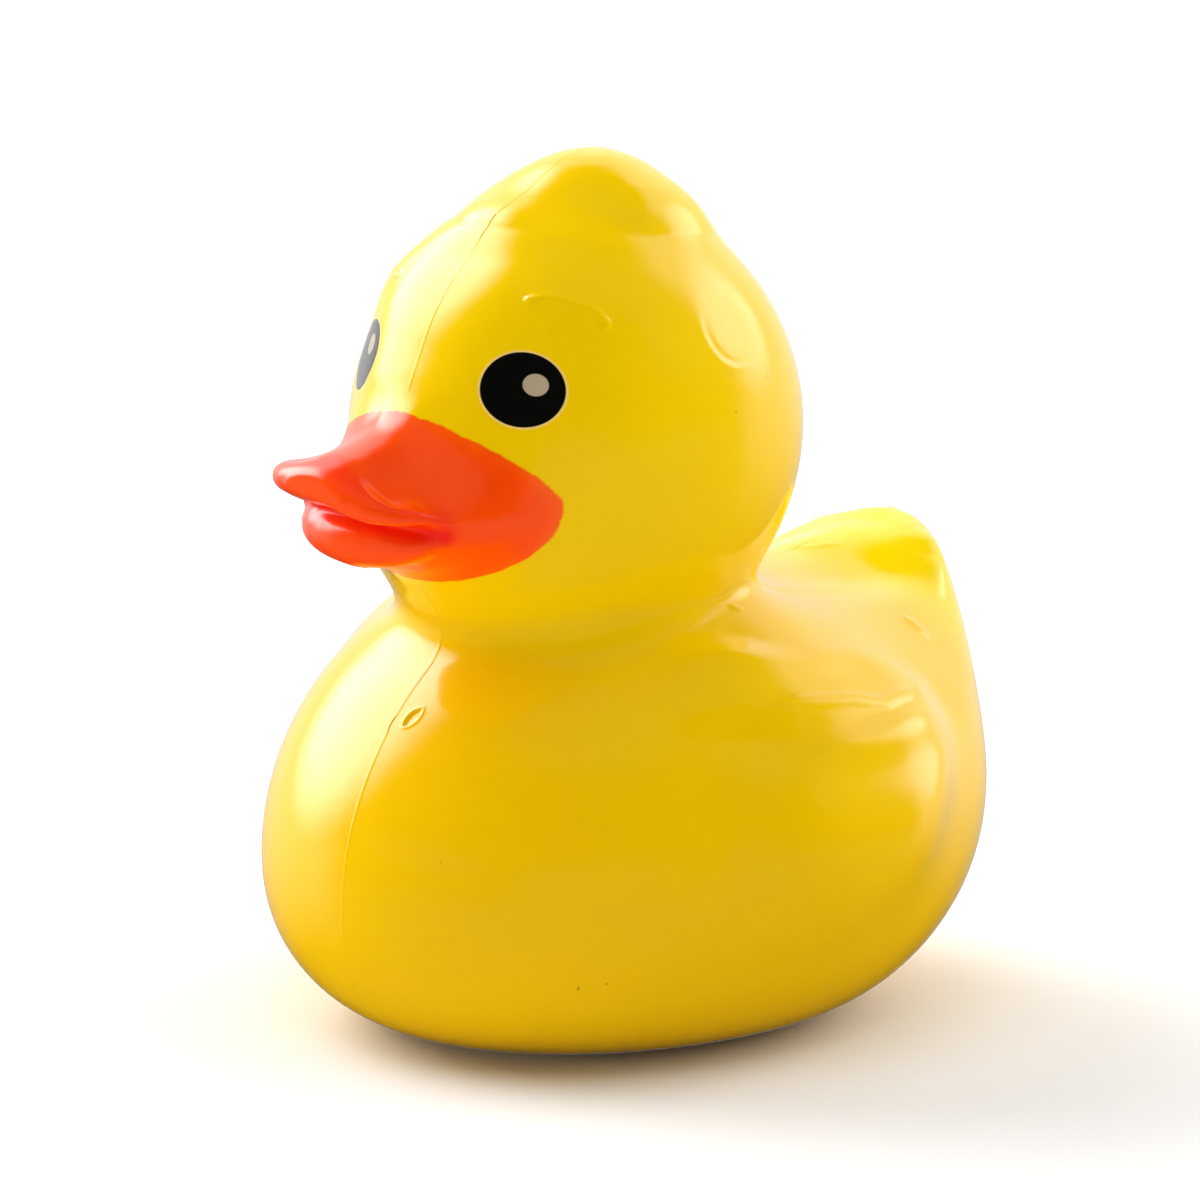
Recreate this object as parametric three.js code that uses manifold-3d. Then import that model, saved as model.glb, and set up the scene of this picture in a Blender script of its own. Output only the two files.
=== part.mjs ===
// A soft squeezable bath duck, moulded in one piece.
// Millimetres, +Z up. The duck faces -Y and its left side is +X. It stands on a flat foot at z = 0,
// and the origin is the middle of its bounding box at that height.
// Turns run round an upright axis from the front, and climbs run up from the level, both in degrees.
// Fullness is the power of a superellipse: 2 is an ellipse, and more is squarer.

import * as THREE from "three";
import { LoftGeometry } from "three/addons/geometries/LoftGeometry.js";
import { mergeVertices } from "three/addons/utils/BufferGeometryUtils.js";
import Module from "manifold-3d";

const wasm = await Module();
wasm.setup();

// Flat foot: how far it reaches from the upright axis of the body
const FOOT_FRONT = 21.5;
const FOOT_SIDE = 15.2;
const FOOT_REAR = 11;

// Belly: the fullest line of the body, and how high it runs
const BELLY_FRONT = 35.4;
const BELLY_SIDE = 31.5;
const BELLY_REAR = 34.3;
const BELLY_HEIGHT_FRONT = 13.2;
const BELLY_HEIGHT_REAR = 20.5;

// Crown of the body, which closes inside the head, and how far the back falls away behind it
const BODY_CROWN = 43;
const BODY_FULLNESS = 2.06;
const BACK_DROP = 5;
const CROWN_RADIUS = 1;

// Tail: the upturned point at the back, and the saddle between it and the neck.
// The narrowness is the power by which the tail fades out to both sides.
const TAIL_TIP_REACH = 36.8;
const TAIL_TIP_HEIGHT = 36.4;
const TAIL_TOP_REACH = 35.2;
const TAIL_TOP_HEIGHT = 41.4;
const SADDLE_REACH = 28;
const SADDLE_HEIGHT = 39;
const TAIL_NARROWNESS = 6;

// Wing outline on the flank. The upper edge drops to the tip and hooks up there, and the lower edge sweeps
// up to the front and to the tip. Spots along the wing are shares of its length from the front.
const WING_FRONT_TURN = 57;
const WING_TIP_TURN = 121;
const WING_TOP_CLIMB = 38;
const WING_TIP_DROP = 7.5;
const WING_TIP_HOOK = 4;
const WING_HOOK_START = 0.75;
const WING_BOTTOM_CLIMB = -32;
const WING_LOWEST = 0.45;
const WING_FRONT_SWEEP = 22;
const WING_TIP_SWEEP = 58;
const WING_SWEEP_BEND = 1.5;

// Wing relief: the height of its upper feather and of its lower one, and the depth of its root in the body.
// Spots across the wing are shares of its breadth from the upper edge.
const WING_STEP = 0.8;
const WING_STEP_RUN = 0.04;
const WING_SWELL = 2.3;
const WING_FOLD_START = 0.11;
const WING_FOLD_END = 0.26;
const WING_FADE_START = 0.4;
const WING_FRONT_RUN = 0.34;
const WING_TIP_START = 0.84;
const WING_SINK = 2.5;

// Head: an egg round its own upright axis, ahead of the body's axis
const HEAD_AHEAD = 6.4;
const HEAD_LIFT = 11;
const HEAD_FRONT = 21.8;
const HEAD_SIDE = 19.4;
const HEAD_REAR = 21.3;
const HEAD_UP = 22;
const HEAD_DOWN = 22;
const FOREHEAD_FULLNESS = 2.25;
const NAPE_FULLNESS = 1.88;
const CHEEK_FULLNESS = 2.3;

// Eye flats: shallow hollows either side of the face, under the brows
const EYE_TURN = 36;
const EYE_CLIMB = 18;
const EYE_FLAT_RADIUS = 24;
const EYE_FLAT_DEPTH = 0.9;

// Tuft: a low pointed cap on the crown, leaning back
const TUFT_RADIUS = 13.1;
const TUFT_RISE = 9.3;
const TUFT_PROUD = 3;
const TUFT_BEHIND = 2.2;
const TUFT_LEAN = 6;

// Beak: heights are measured from the middle of the head and reaches from its axis. It flares from the
// waist back to a root inside the head. The mouth opens from its corners over the blend.
const BEAK_ROOT = 12;
const BEAK_ROOT_WIDTH = 15.6;
const BEAK_WAIST = 27.5;
const BEAK_FLARE = 1.2;
const MOUTH_CORNER = 23;
const MOUTH_BLEND = 4;
const MOUTH_FULLNESS = 3;
const BILL_FULLNESS = 2;
const LIP_ROUND = 5;

// Upper bill, whose flanks are hollow above the lip
const UPPER_REACH = 31.9;
const UPPER_LIP_WIDTH = 9.2;
const UPPER_ROOT_TOP = 7.8;
const UPPER_LIP_TOP = 1.5;
const UPPER_LIP_UNDER = -3.7;
const UPPER_HOLLOW = 0.3;
const UPPER_HOLLOW_BEND = 1.5;

// Lower bill, whose root lies inside the upper bill's
const LOWER_REACH = 29.6;
const LOWER_LIP_WIDTH = 8.2;
const LOWER_ROOT_UNDER = -12.3;
const LOWER_ROOT_TOP = -2;
const LOWER_ROOT_INSET = 2;
const LOWER_LIP_TOP = -3.4;
const LOWER_LIP_UNDER = -9.3;

// Fineness of the surface. The wing's points crowd to its upper edge, and its normals are taken over
// a small step in degrees.
const ROUND_STEPS = 64;
const BILGE_STEPS = 7;
const FLANK_STEPS = 26;
const HEAD_STEPS = 26;
const TUFT_STEPS = 7;
const WING_LENGTH_STEPS = 16;
const WING_ACROSS_STEPS = 16;
const WING_EDGE_CROWDING = 1.5;
const NORMAL_STEP = 0.5;
const BILL_STEPS = 16;
const BILL_ROUND_STEPS = 36;

const headHeight = BODY_CROWN + HEAD_LIFT;
const { lerp, smoothstep, degToRad } = THREE.MathUtils;

// Evenly spaced shares from 0 to 1, both included
const shares = (steps) => Array.from({ length: steps + 1 }, (_, step) => step / steps);

// Closed ring of points; the turn starts at the front and runs by the left side
const ring = (steps, place) =>
  Array.from({ length: steps }, (_, step) => place((step / steps) * 2 * Math.PI));

// Signed power that makes a superellipse of a circle's sine or cosine
const swell = (value, fullness) => Math.sign(value) * Math.abs(value) ** (2 / fullness);

// Point on a plan of two half ellipses that share one breadth
function planPoint(turn, front, side, rear) {
  const ahead = Math.cos(turn);
  return new THREE.Vector2(side * Math.sin(turn), -ahead * (ahead > 0 ? front : rear));
}

// Loft through closed sections, capped at both ends, as a solid
function skin(sections) {
  const loft = new LoftGeometry(sections, { capStart: true, capEnd: true });
  return solidOf(loft);
}

function solidOf(source) {
  const bare = new THREE.BufferGeometry();
  bare.setAttribute("position", source.attributes.position);
  bare.setIndex(source.index);
  const welded = mergeVertices(bare);
  const mesh = new wasm.Mesh({
    numProp: 3,
    vertProperties: new Float32Array(welded.attributes.position.array),
    triVerts: new Uint32Array(welded.index.array),
  });
  return new wasm.Manifold(mesh);
}

// Rear outline of the upper body: belly, tail tip, tail top, saddle and crown
const tailLine = new THREE.SplineCurve([
  new THREE.Vector2(BELLY_REAR, BELLY_HEIGHT_REAR),
  new THREE.Vector2(TAIL_TIP_REACH, TAIL_TIP_HEIGHT),
  new THREE.Vector2(TAIL_TOP_REACH, TAIL_TOP_HEIGHT),
  new THREE.Vector2(SADDLE_REACH, SADDLE_HEIGHT),
  new THREE.Vector2(0, BODY_CROWN - BACK_DROP),
]);

// Point on the body, for angles in radians. The climb runs from a right angle down at the foot's edge,
// by 0 on the belly, to a right angle up at the crown.
function bodyPoint(turn, climb) {
  const frontShare = (1 + Math.cos(turn)) / 2;
  const bellyHeight = lerp(BELLY_HEIGHT_REAR, BELLY_HEIGHT_FRONT, frontShare);
  if (climb <= 0) {
    const out = Math.cos(climb);
    const front = lerp(FOOT_FRONT, BELLY_FRONT, out);
    const side = lerp(FOOT_SIDE, BELLY_SIDE, out);
    const rear = lerp(FOOT_REAR, BELLY_REAR, out);
    const plan = planPoint(turn, front, side, rear);
    return new THREE.Vector3(plan.x, plan.y, bellyHeight * (1 + Math.sin(climb)));
  }
  const shrink = swell(Math.cos(climb), BODY_FULLNESS);
  const rise = swell(Math.sin(climb), BODY_FULLNESS);
  const plan = planPoint(turn, BELLY_FRONT, BELLY_SIDE, BELLY_REAR).multiplyScalar(shrink);
  const tail = tailLine.getPoint(climb / (Math.PI / 2));
  const rearward = Math.max(0, -Math.cos(turn));
  const tailward = rearward ** TAIL_NARROWNESS;
  const crown = BODY_CROWN - BACK_DROP * rearward;
  const tailShift = tail.x - BELLY_REAR * shrink;
  const tailLift = tail.y - lerp(BELLY_HEIGHT_REAR, BODY_CROWN - BACK_DROP, rise);
  return new THREE.Vector3(
    plan.x,
    plan.y + tailward * tailShift,
    lerp(bellyHeight, crown, rise) + tailward * tailLift,
  );
}

function makeBody() {
  const climbs = [
    ...shares(BILGE_STEPS).map((share) => degToRad(90 * (share - 1))),
    ...shares(FLANK_STEPS).slice(1, -2).map((share) => degToRad(90 * share)),
  ];
  const rings = climbs.map((climb) => ring(ROUND_STEPS, (turn) => bodyPoint(turn, climb)));
  const crownRing = ring(ROUND_STEPS, (turn) => {
    const plan = planPoint(turn, CROWN_RADIUS, CROWN_RADIUS, CROWN_RADIUS);
    return new THREE.Vector3(plan.x, plan.y, BODY_CROWN);
  });
  return skin([...rings, crownRing]);
}

// Point off the body's surface by a given height
function offBody(turn, climb, height) {
  const step = degToRad(NORMAL_STEP);
  const here = bodyPoint(turn, climb);
  const along = bodyPoint(turn + step, climb).sub(here);
  const up = bodyPoint(turn, climb + step).sub(here);
  const outward = along.cross(up).normalize();
  return here.addScaledVector(outward, height);
}

// Height of the wing over the flank: a narrow upper feather, a fold, then a fuller feather that fades out
function wingHeight(length, across) {
  const ends = smoothstep(length, 0, WING_FRONT_RUN) * (1 - smoothstep(length, WING_TIP_START, 1));
  const upper = WING_STEP * smoothstep(across, 0, WING_STEP_RUN);
  const lower = (WING_SWELL - WING_STEP) * smoothstep(across, WING_FOLD_START, WING_FOLD_END);
  const shown = ends * (1 - smoothstep(across, WING_FADE_START, 1));
  return (upper + lower) * shown - WING_STEP * (1 - shown);
}

// Climb of the wing's lower edge: it sweeps up from its lowest spot to the front and, further, to the tip
function wingBottom(length) {
  const tipward = Math.max(0, length - WING_LOWEST) / (1 - WING_LOWEST);
  const frontward = Math.max(0, WING_LOWEST - length) / WING_LOWEST;
  const tipSweep = WING_TIP_SWEEP * tipward ** WING_SWEEP_BEND;
  const frontSweep = WING_FRONT_SWEEP * frontward ** WING_SWEEP_BEND;
  return WING_BOTTOM_CLIMB + tipSweep + frontSweep;
}

// The left wing has side 1 and the right wing side -1
function makeWing(side) {
  const acrosses = shares(WING_ACROSS_STEPS).map((share) => share ** WING_EDGE_CROWDING);
  const sections = shares(WING_LENGTH_STEPS).map((length) => {
    const turn = degToRad(lerp(WING_FRONT_TURN, WING_TIP_TURN, length));
    const hook = WING_TIP_HOOK * smoothstep(length, WING_HOOK_START, 1);
    const top = WING_TOP_CLIMB - WING_TIP_DROP * length + hook;
    const bottom = wingBottom(length);
    const place = (across, height) => {
      const point = offBody(turn, degToRad(lerp(top, bottom, across)), height);
      return point.setX(side * point.x);
    };
    const outside = acrosses.map((across) => place(across, wingHeight(length, across)));
    const inside = acrosses.map((across) => place(across, -WING_SINK)).reverse();
    const section = [...outside, ...inside];
    return side > 0 ? section : section.reverse();
  });
  return skin(sections);
}

// How much of the eye flats' depth a spot on the head takes, by its angle from the nearer eye
function eyeFlat(turn, climb) {
  const spot = new THREE.Vector3().setFromSphericalCoords(1, Math.PI / 2 - climb, turn);
  const eyes = [EYE_TURN, -EYE_TURN].map((eyeTurn) =>
    new THREE.Vector3().setFromSphericalCoords(1, degToRad(90 - EYE_CLIMB), degToRad(eyeTurn)),
  );
  const angle = Math.min(...eyes.map((eye) => spot.angleTo(eye)));
  return 1 - smoothstep(angle, 0, degToRad(EYE_FLAT_RADIUS));
}

// How far a height on the head, as a share of its half height, draws in the plan
const drawIn = (share, fullness) => (1 - Math.abs(share) ** fullness) ** (1 / fullness);

function makeHead() {
  const climbs = shares(HEAD_STEPS).slice(1, -1).map((share) => degToRad(180 * share - 90));
  const rings = climbs.map((climb) => {
    const share = Math.sin(climb);
    const rise = share * (share < 0 ? HEAD_DOWN : HEAD_UP);
    return ring(ROUND_STEPS, (turn) => {
      const frontFullness = share < 0 ? CHEEK_FULLNESS : FOREHEAD_FULLNESS;
      const fullness = lerp(NAPE_FULLNESS, frontFullness, (1 + Math.cos(turn)) / 2);
      const flat = 1 - (EYE_FLAT_DEPTH / HEAD_FRONT) * eyeFlat(turn, climb);
      const plan = planPoint(turn, HEAD_FRONT, HEAD_SIDE, HEAD_REAR);
      plan.multiplyScalar(drawIn(share, fullness) * flat);
      return new THREE.Vector3(plan.x, plan.y - HEAD_AHEAD, headHeight + rise);
    });
  });
  return skin(rings);
}

// The cap is a parabola turned round its own axis
function makeTuft() {
  const slope = shares(TUFT_STEPS).map((share) => {
    const radius = TUFT_RADIUS * (1 - share);
    return new THREE.Vector2(radius, TUFT_RISE * (1 - (1 - share) ** 2));
  });
  const cap = new THREE.LatheGeometry([new THREE.Vector2(0, 0), ...slope], ROUND_STEPS);
  cap.rotateX(Math.PI / 2);
  cap.translate(0, 0, TUFT_PROUD - TUFT_RISE);
  cap.rotateX(-degToRad(TUFT_LEAN));
  cap.translate(0, TUFT_BEHIND - HEAD_AHEAD, headHeight + HEAD_UP);
  return solidOf(cap);
}

// Outer lines of the whole beak at a reach: they fall away from the face and level out at the lips
function beakLines(ahead) {
  const flare = Math.max(0, (BEAK_WAIST - ahead) / (BEAK_WAIST - BEAK_ROOT)) ** BEAK_FLARE;
  return {
    flare,
    top: lerp(UPPER_LIP_TOP, UPPER_ROOT_TOP, flare),
    under: lerp(LOWER_LIP_UNDER, LOWER_ROOT_UNDER, flare),
    mouth: smoothstep(ahead, MOUTH_CORNER, MOUTH_CORNER + MOUTH_BLEND),
  };
}

// One half of the beak. Both halves fill the root together and part at the mouth. The half section that
// faces the mouth is square, and the upper bill's flanks are hollow above its lip.
function makeBill({ reach, facing, hollow, sectionAt }) {
  const spread = shares(BILL_STEPS).slice(0, -1);
  const spots = spread.map((share) => lerp(BEAK_ROOT, reach, Math.sin((share * Math.PI) / 2)));
  const sections = spots.map((ahead) => {
    const lines = beakLines(ahead);
    const { width, top, under, middle } = sectionAt(lines);
    const mouthFullness = lerp(BILL_FULLNESS, MOUTH_FULLNESS, lines.mouth);
    const past = Math.max(0, ahead - reach + LIP_ROUND) / LIP_ROUND;
    const close = Math.sqrt(1 - past * past);
    return ring(BILL_ROUND_STEPS, (turn) => {
      const fullness = Math.sin(turn) * facing > 0 ? mouthFullness : BILL_FULLNESS;
      const rise = swell(Math.sin(turn), fullness);
      const height = lerp(under, top, (1 + rise) / 2);
      const flank = lerp(1, (1 - Math.max(0, rise)) ** UPPER_HOLLOW_BEND, hollow);
      return new THREE.Vector3(
        width * close * flank * swell(Math.cos(turn), fullness),
        -HEAD_AHEAD - ahead,
        headHeight + lerp(middle, height, close),
      );
    });
  });
  return skin(sections);
}

function makeUpperBill() {
  return makeBill({
    reach: UPPER_REACH,
    facing: -1,
    hollow: UPPER_HOLLOW,
    sectionAt: ({ flare, top, under, mouth }) => ({
      width: lerp(UPPER_LIP_WIDTH, BEAK_ROOT_WIDTH, flare),
      top,
      under: lerp(under, UPPER_LIP_UNDER, mouth),
      middle: (UPPER_LIP_TOP + UPPER_LIP_UNDER) / 2,
    }),
  });
}

function makeLowerBill() {
  return makeBill({
    reach: LOWER_REACH,
    facing: 1,
    hollow: 0,
    sectionAt: ({ flare, under, mouth }) => ({
      width: lerp(LOWER_LIP_WIDTH, BEAK_ROOT_WIDTH - LOWER_ROOT_INSET, flare),
      top: lerp(LOWER_ROOT_TOP, LOWER_LIP_TOP, mouth),
      under: lerp(under + LOWER_ROOT_INSET, under, mouth),
      middle: (LOWER_LIP_TOP + LOWER_LIP_UNDER) / 2,
    }),
  });
}

const solid = makeBody()
  .add(makeHead())
  .add(makeTuft())
  .add(makeUpperBill())
  .add(makeLowerBill())
  .add(makeWing(1))
  .add(makeWing(-1));
const { vertProperties, triVerts } = solid.getMesh();
const geometry = new THREE.BufferGeometry();
geometry.setAttribute("position", new THREE.BufferAttribute(vertProperties, 3));
geometry.setIndex(new THREE.BufferAttribute(triVerts, 1));
geometry.computeBoundingBox();
const { min, max } = geometry.boundingBox;
geometry.translate(0, -(min.y + max.y) / 2, 0);
geometry.computeVertexNormals();

const vinyl = new THREE.MeshStandardMaterial({ color: 0xf2c200, roughness: 0.3, metalness: 0 });
const duck = new THREE.Mesh(geometry, vinyl);
duck.name = "duck";
const group = new THREE.Group();
group.add(duck);

export default group;
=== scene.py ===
import logging
import math
from dataclasses import dataclass
from enum import Enum
from typing import Callable, Mapping, Union

import bmesh
import bpy
import numpy as np
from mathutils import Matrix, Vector
from mathutils.kdtree import KDTree


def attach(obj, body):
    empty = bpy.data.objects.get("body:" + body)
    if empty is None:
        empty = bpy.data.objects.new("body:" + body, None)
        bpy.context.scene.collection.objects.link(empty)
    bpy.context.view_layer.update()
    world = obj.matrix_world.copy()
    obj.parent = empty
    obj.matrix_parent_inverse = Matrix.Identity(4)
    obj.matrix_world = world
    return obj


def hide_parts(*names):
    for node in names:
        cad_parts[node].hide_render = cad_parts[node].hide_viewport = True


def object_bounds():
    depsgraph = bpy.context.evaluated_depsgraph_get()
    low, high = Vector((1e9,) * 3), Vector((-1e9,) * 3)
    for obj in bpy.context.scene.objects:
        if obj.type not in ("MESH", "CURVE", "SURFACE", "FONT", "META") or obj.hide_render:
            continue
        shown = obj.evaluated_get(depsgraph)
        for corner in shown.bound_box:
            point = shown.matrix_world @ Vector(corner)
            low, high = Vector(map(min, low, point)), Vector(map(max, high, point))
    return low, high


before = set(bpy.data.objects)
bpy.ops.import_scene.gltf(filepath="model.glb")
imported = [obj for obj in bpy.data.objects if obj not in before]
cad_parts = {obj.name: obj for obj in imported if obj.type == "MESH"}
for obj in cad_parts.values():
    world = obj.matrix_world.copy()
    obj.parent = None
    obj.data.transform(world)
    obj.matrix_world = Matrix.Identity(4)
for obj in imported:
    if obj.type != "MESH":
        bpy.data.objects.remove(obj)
CAD_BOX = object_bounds()

log = logging.getLogger("duck")

MM = 0.001
Pair = tuple[float, float]
Triple = tuple[float, float, float]
Span = tuple[float, float, float, float]
UP: Triple = (0.0, 0.0, 1.0)


class Side(Enum):
    """The duck's own sides, each with the sign that X has there."""

    LEFT = 1
    RIGHT = -1


class MathStep(Enum):
    """Sums that a shader value can take part in, by their node names."""

    ADD = "ADD"
    SUBTRACT = "SUBTRACT"
    MULTIPLY = "MULTIPLY"
    DIVIDE = "DIVIDE"
    POWER = "POWER"
    MAXIMUM = "MAXIMUM"
    ABSOLUTE = "ABSOLUTE"
    ARCTAN2 = "ARCTAN2"
    SQRT = "SQRT"
    GREATER_THAN = "GREATER_THAN"


Operand = Union["Shade", float]


class Shade:
    """A shader socket that works in Python sums, each of which adds a Math node."""

    def __init__(self, graph: "ShaderGraph", socket: bpy.types.NodeSocket) -> None:
        """Wraps one output socket of the graph."""
        self.graph = graph
        self.socket = socket

    def step(self, kind: MathStep, *others: Operand) -> "Shade":
        """Adds one Math node with this value first."""
        return self.graph.math(kind, self, *others)

    def __add__(self, other: Operand) -> "Shade":
        """This plus the other."""
        return self.step(MathStep.ADD, other)

    def __radd__(self, other: Operand) -> "Shade":
        """The other plus this."""
        return self.graph.math(MathStep.ADD, other, self)

    def __sub__(self, other: Operand) -> "Shade":
        """This less the other."""
        return self.step(MathStep.SUBTRACT, other)

    def __rsub__(self, other: Operand) -> "Shade":
        """The other less this."""
        return self.graph.math(MathStep.SUBTRACT, other, self)

    def __mul__(self, other: Operand) -> "Shade":
        """This times the other."""
        return self.step(MathStep.MULTIPLY, other)

    def __rmul__(self, other: Operand) -> "Shade":
        """The other times this."""
        return self.graph.math(MathStep.MULTIPLY, other, self)

    def __truediv__(self, other: Operand) -> "Shade":
        """This over the other."""
        return self.step(MathStep.DIVIDE, other)

    def __rtruediv__(self, other: Operand) -> "Shade":
        """The other over this."""
        return self.graph.math(MathStep.DIVIDE, other, self)

    def __pow__(self, other: Operand) -> "Shade":
        """This to the power of the other."""
        return self.step(MathStep.POWER, other)

    def __neg__(self) -> "Shade":
        """This with its sign turned."""
        return self.step(MathStep.MULTIPLY, -1.0)

    def __abs__(self) -> "Shade":
        """The size of this without its sign."""
        return self.step(MathStep.ABSOLUTE)

    def most(self, other: Operand) -> "Shade":
        """The larger of the two."""
        return self.step(MathStep.MAXIMUM, other)

    def ramp(self, start: float, end: float) -> "Shade":
        """A smooth rise from nought to one.

        Args:
            start: Where the rise starts.
            end: Where it ends, which may be the lower.

        Returns:
            The risen value.
        """
        low, high = min(start, end), max(start, end)
        to = (0.0, 1.0) if start < end else (1.0, 0.0)
        return self.graph.shade(
            "ShaderNodeMapRange",
            {"interpolation_type": "SMOOTHSTEP"},
            {"Value": self, "From Min": low, "From Max": high, "To Min": to[0], "To Max": to[1]},
        )


class ShaderGraph:
    """A node tree that is filled through a few calls."""

    def __init__(self, tree: bpy.types.NodeTree) -> None:
        """Empties the tree for a fresh start."""
        self.tree = tree
        tree.nodes.clear()

    def node(
        self,
        kind: str,
        settings: Mapping[str, object] | None = None,
        inputs: Mapping[Union[str, int], object] | None = None,
    ) -> bpy.types.Node:
        """Adds any node.

        Args:
            kind: The node's type name.
            settings: Its settings, which are set before its sockets are used.
            inputs: Socket values or links, by socket name or place.

        Returns:
            The new node.
        """
        made = self.tree.nodes.new(kind)
        for name, value in (settings or {}).items():
            setattr(made, name, value)
        for key, value in (inputs or {}).items():
            socket = made.inputs[key]
            if isinstance(value, Shade):
                self.tree.links.new(value.socket, socket)
            elif isinstance(value, bpy.types.NodeSocket):
                self.tree.links.new(value, socket)
            else:
                socket.default_value = value
        return made

    def shade(
        self,
        kind: str,
        settings: Mapping[str, object] | None = None,
        inputs: Mapping[Union[str, int], object] | None = None,
        output: Union[str, int] = 0,
    ) -> Shade:
        """Adds any node and wraps one of its outputs.

        Args:
            kind: The node's type name.
            settings: Its settings.
            inputs: Socket values or links.
            output: The name or place of the output to wrap.

        Returns:
            The wrapped output.
        """
        return Shade(self, self.node(kind, settings, inputs).outputs[output])

    def math(self, kind: MathStep, *values: Operand) -> Shade:
        """Adds a Math node over the given values."""
        return self.shade("ShaderNodeMath", {"operation": kind.value}, dict(enumerate(values)))

    def vector(self, operation: str, *values: object, output: str = "Vector") -> Shade:
        """Adds a Vector Math node over the given values."""
        return self.shade("ShaderNodeVectorMath", {"operation": operation}, dict(enumerate(values)), output)

    def dot(self, one: Shade, two: Triple) -> Shade:
        """How far a vector reaches along a fixed direction."""
        return self.vector("DOT_PRODUCT", one, two, output="Value")

    def blend(self, factor: Operand, one: object, two: object) -> Shade:
        """A colour between two, the first at nought and the second at one."""
        made = self.node("ShaderNodeMix", {"data_type": "RGBA"}, {0: factor, 6: one, 7: two})
        return Shade(self, made.outputs[2])

    def noise(self, where: Shade, scale: float, detail: float) -> Shade:
        """Smooth noise between nought and one, about scale swells to a millimetre."""
        return self.shade("ShaderNodeTexNoise", {}, {"Vector": where, "Scale": scale, "Detail": detail})


@dataclass(frozen=True)
class HeadFrame:
    """Directions from the middle of the head: a turn from straight ahead and a climb from level."""

    middle: Triple = (0.0, -5.75, 54.0)
    reach: float = 45.0

    def angles(self, points: np.ndarray) -> tuple[np.ndarray, np.ndarray]:
        """Measures where points lie round the head.

        Args:
            points: The points, in millimetres.

        Returns:
            Their turns and their climbs, in degrees.
        """
        away = points - np.array(self.middle)
        turn = np.degrees(np.arctan2(away[:, 0], -away[:, 1]))
        climb = np.degrees(np.arctan2(away[:, 2], np.hypot(away[:, 0], away[:, 1])))
        return turn, climb

    def direction(self, turn: float, climb: float) -> np.ndarray:
        """The unit vector for a turn and climb in degrees."""
        t, c = math.radians(turn), math.radians(climb)
        return np.array((math.sin(t) * math.cos(c), -math.cos(t) * math.cos(c), math.sin(c)))


HEAD = HeadFrame()


class SkinNet:
    """The skin's points and neighbours as arrays in millimetres, for softening and small moves."""

    def __init__(self, mesh: bpy.types.Mesh) -> None:
        """Reads the points and edges of a mesh.

        Args:
            mesh: The mesh, which write() puts the points back into.
        """
        self.mesh = mesh
        flat = np.empty(len(mesh.vertices) * 3, np.float32)
        mesh.vertices.foreach_get("co", flat)
        self.points = flat.reshape(-1, 3).astype(float) / MM
        ends = np.empty(len(mesh.edges) * 2, np.int32)
        mesh.edges.foreach_get("vertices", ends)
        self.edges = ends.reshape(-1, 2)

    def write(self) -> None:
        """Puts the points back into the mesh."""
        self.mesh.vertices.foreach_set("co", (self.points * MM).astype(np.float32).ravel())
        self.mesh.update()

    def normals(self) -> np.ndarray:
        """Measures the skin's slant.

        Returns:
            The outward direction at each point.
        """
        self.write()
        flat = np.empty(len(self.mesh.vertices) * 3, np.float32)
        self.mesh.vertex_normals.foreach_get("vector", flat)
        return flat.reshape(-1, 3).astype(float)

    def relax(self, share: np.ndarray, rounds: int) -> None:
        """Draws each point towards the middle of its neighbours.

        Args:
            share: How much of the way each point goes in one round.
            rounds: How many rounds there are.
        """
        count = len(self.points)
        one, two = self.edges.T
        ties = np.bincount(self.edges.ravel(), minlength=count).astype(float)
        for _ in range(rounds):
            sums = [
                np.bincount(one, self.points[two, k], count) + np.bincount(two, self.points[one, k], count)
                for k in range(3)
            ]
            middle = np.stack(sums, 1) / ties[:, None]
            self.points += share[:, None] * (middle - self.points)

    def push(self, amount: np.ndarray) -> None:
        """Moves each point outward by its own amount in millimetres."""
        self.points += self.normals() * amount[:, None]

    def closest(self, place: np.ndarray) -> np.ndarray:
        """The point that lies closest to a place."""
        return self.points[int(np.argmin(np.linalg.norm(self.points - place, axis=1)))]

    def nearest(self, turn: float, climb: float) -> np.ndarray:
        """Finds a point of the head.

        Args:
            turn: The turn at which it is seen from the head's middle, in degrees.
            climb: The climb at which it is seen, in degrees.

        Returns:
            The point.
        """
        away = self.points - np.array(HEAD.middle)
        reach = np.linalg.norm(away, axis=1)
        facing = away @ HEAD.direction(turn, climb) / reach
        return self.points[int(np.argmax(np.where(reach < HEAD.reach, facing, -1.0)))]


def unit(vector: Triple) -> np.ndarray:
    """A vector's direction."""
    return np.array(vector) / np.linalg.norm(vector)


def bell(distance: np.ndarray, width: float) -> np.ndarray:
    """A smooth hump that is one at nought and falls away over the width."""
    return np.exp(-((distance / width) ** 2))


def rise(value: np.ndarray, start: float, end: float) -> np.ndarray:
    """A smooth rise from nought at start to one at end."""
    part = np.clip((value - start) / (end - start), 0.0, 1.0)
    return part * part * (3.0 - 2.0 * part)


def between(value: np.ndarray, span: Span) -> np.ndarray:
    """A rise from nought to one over the span's first two values, and a fall back over its last two."""
    return rise(value, span[0], span[1]) * (1.0 - rise(value, span[2], span[3]))


def line_distance(points: np.ndarray, line: np.ndarray) -> tuple[np.ndarray, np.ndarray]:
    """Measures how far points lie from a line of straight runs.

    Args:
        points: The points to measure.
        line: The corners of the line, in order.

    Returns:
        The distance of each point, and how far along the line its nearest spot is, from nought to one.
    """
    best = np.full(len(points), np.inf)
    along = np.zeros(len(points))
    runs = len(line) - 1
    for k in range(runs):
        span = line[k + 1] - line[k]
        part = np.clip((points - line[k]) @ span / (span @ span), 0.0, 1.0)
        away = np.linalg.norm(points - line[k] - part[:, None] * span, axis=1)
        closer = away < best
        best[closer] = away[closer]
        along[closer] = (k + part[closer]) / runs
    return best, along


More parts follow.
